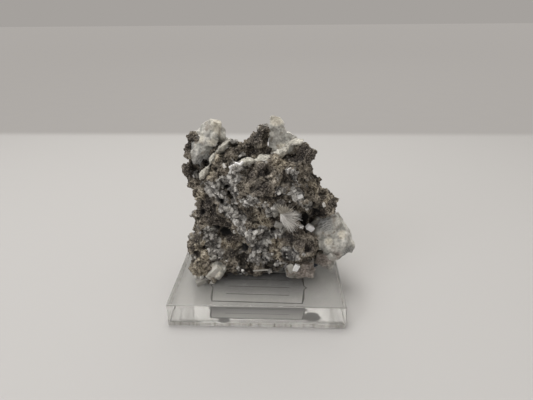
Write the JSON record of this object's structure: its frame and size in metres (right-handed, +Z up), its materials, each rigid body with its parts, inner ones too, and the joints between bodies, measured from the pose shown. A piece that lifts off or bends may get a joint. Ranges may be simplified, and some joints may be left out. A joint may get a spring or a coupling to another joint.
{
  "type": "mesolite mineral specimen on an acrylic slab",
  "caption": "Lump of brown-grey vuggy rock with glassy crystal masses and a radiating spray of white mesolite needles, fixed with putty on a clear acrylic slab.",
  "frame": {"origin": "middle of the slab's underside", "axes": "+Z up, -Y towards the front face with the needle spray, +X to the right seen from the front"},
  "size_m": [0.056, 0.0508, 0.0548],
  "materials": {
    "acrylic": "clear polished acrylic",
    "paper": "grey paper label with a thin border line",
    "putty": "dull dark grey putty",
    "rock": "granular weathered volcanic rock",
    "glassy_crystal": "cloudy translucent crystal",
    "pale_vein": "chalky fine-grained zeolite",
    "mesolite": "silky white needles"
  },
  "bodies": {
    "root": {"acrylic_base": "acrylic", "label": "paper", "putty_left": "putty", "putty_right": "putty", "matrix_rock": "rock", "crystal_mass_upper_left": "glassy_crystal", "crystal_fin_top": "glassy_crystal", "crystal_mass_right": "glassy_crystal", "crystal_mass_foot": "glassy_crystal", "crystal_patch_left_foot": "glassy_crystal", "pale_vein_brow": "pale_vein", "pale_vein_left": "pale_vein", "mesolite_spray": "mesolite", "mesolite_tuft_brow": "mesolite"}
  },
  "joints": []
}
